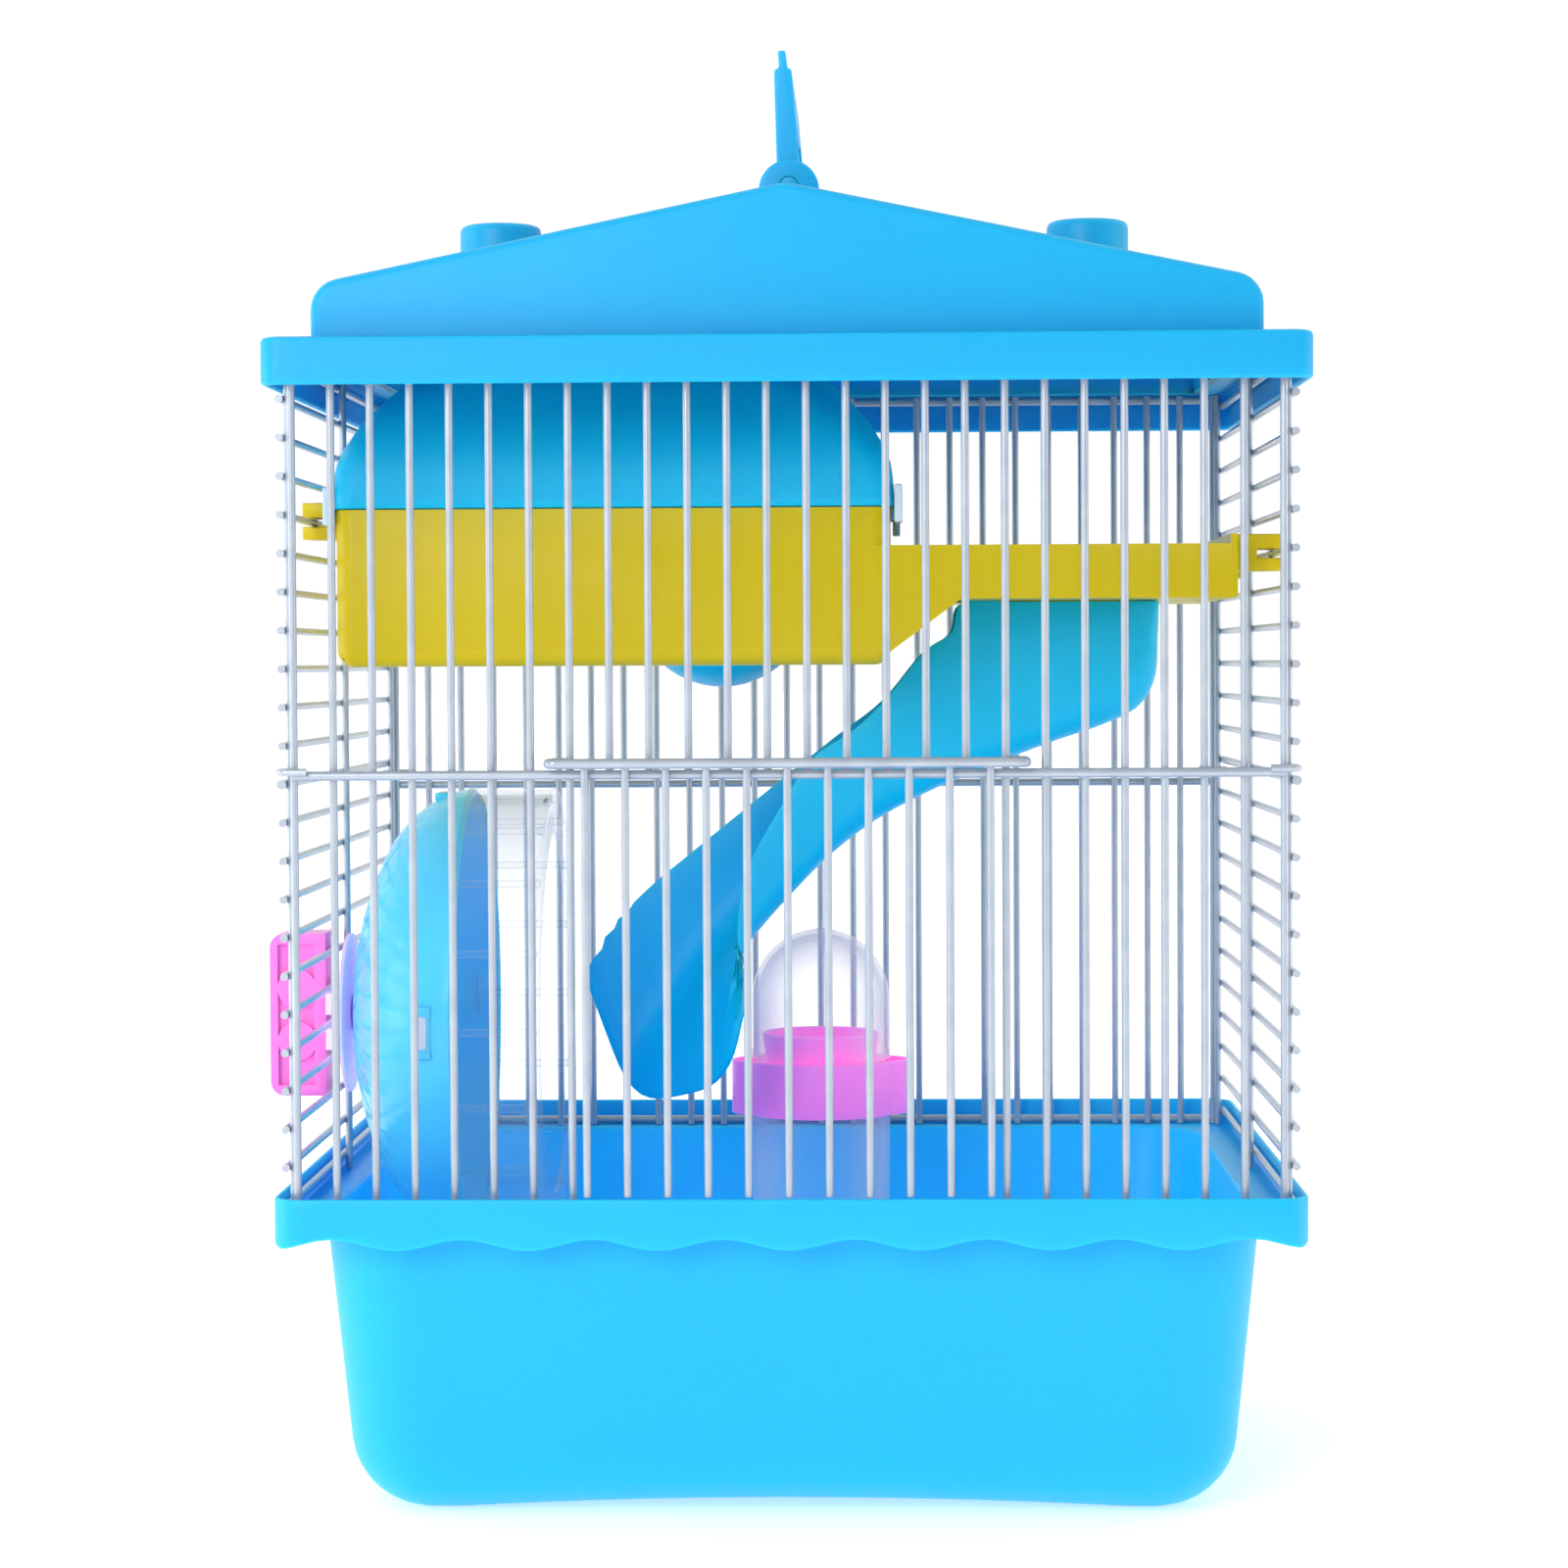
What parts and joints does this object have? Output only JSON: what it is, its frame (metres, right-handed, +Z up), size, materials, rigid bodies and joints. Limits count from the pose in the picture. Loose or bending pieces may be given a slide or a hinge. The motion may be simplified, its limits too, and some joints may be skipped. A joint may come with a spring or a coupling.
{
  "type": "hamster cage",
  "caption": "Wire hamster cage on a deep tub, with a lift-off gable roof and folding handle, a loft with a nest box, a slide, an exercise wheel, a feeder and a sliding door.",
  "frame": {"origin": "middle of the tub's flat resting face", "axes": "+Z up through the handle, -Y out of the front with the door, +X to the right as seen from the front"},
  "size_m": [0.2775, 0.2156, 0.3821],
  "materials": {
    "blue_plastic": "satin moulded",
    "deep_blue_plastic": "glossy moulded",
    "wheel_blue_plastic": "glossy moulded",
    "yellow_plastic": "satin moulded",
    "pink_plastic": "satin moulded",
    "magenta_plastic": "glossy moulded",
    "lilac_plastic": "satin moulded",
    "clear_plastic": "clear polished",
    "clasp_plastic": "clear moulded",
    "coated_wire": "satin coated"
  },
  "bodies": {
    "base": {"base_tub": "blue_plastic", "feeder_cup": "clear_plastic", "feeder_collar": "magenta_plastic"},
    "feeder_top": {"feeder_dome": "clear_plastic"},
    "cage": {"front_mesh_upper": "coated_wire", "front_mesh_left": "coated_wire", "front_mesh_right": "coated_wire", "door_sill": "coated_wire", "back_mesh": "coated_wire", "left_mesh": "coated_wire", "right_mesh": "coated_wire", "corner_hooks": "coated_wire", "loft_tray": "yellow_plastic", "loft_hooks": "yellow_plastic", "slide_chute": "deep_blue_plastic", "wheel_axle": "magenta_plastic", "wheel_axle_cap": "pink_plastic", "wheel_flange_inner": "lilac_plastic", "wheel_clamp_outer": "pink_plastic"},
    "door": {"front_door": "coated_wire"},
    "lid": {"loft_lid": "deep_blue_plastic", "lid_clasps": "clasp_plastic"},
    "bowl": {"food_bowl": "deep_blue_plastic"},
    "wheel": {"wheel_dish": "wheel_blue_plastic", "wheel_drum": "clear_plastic"},
    "roof": {"roof_shell": "blue_plastic"},
    "handle": {"carry_handle": "blue_plastic"}
  },
  "joints": [
    {"name": "cage_lift", "type": "slide", "parent": "base", "child": "cage", "axis": [0, 0, 1], "range_m": [0, 0.06]},
    {"name": "feeder_top_lift", "type": "slide", "parent": "base", "child": "feeder_top", "axis": [0, 0, 1], "range_m": [0, 0.008]},
    {"name": "door_slide", "type": "slide", "parent": "cage", "child": "door", "axis": [0, 0, 1], "range_m": [0, 0.093]},
    {"name": "lid_lift", "type": "slide", "parent": "cage", "child": "lid", "axis": [0, 0, 1], "range_m": [0, 0.009]},
    {"name": "bowl_lift", "type": "slide", "parent": "cage", "child": "bowl", "axis": [0, 0, 1], "range_m": [0, 0.012]},
    {"name": "wheel_spin", "type": "hinge", "parent": "cage", "child": "wheel", "pos_m": [-0.1, -0.008, 0.1232], "axis": [1, 0, 0], "continuous": true},
    {"name": "roof_lift", "type": "slide", "parent": "cage", "child": "roof", "axis": [0, 0, 1], "range_m": [0, 0.06]},
    {"name": "handle_fold", "type": "hinge", "parent": "roof", "child": "handle", "pos_m": [0, 0, 0.3455], "axis": [0, 1, 0], "range_deg": [-95, 98]}
  ]
}
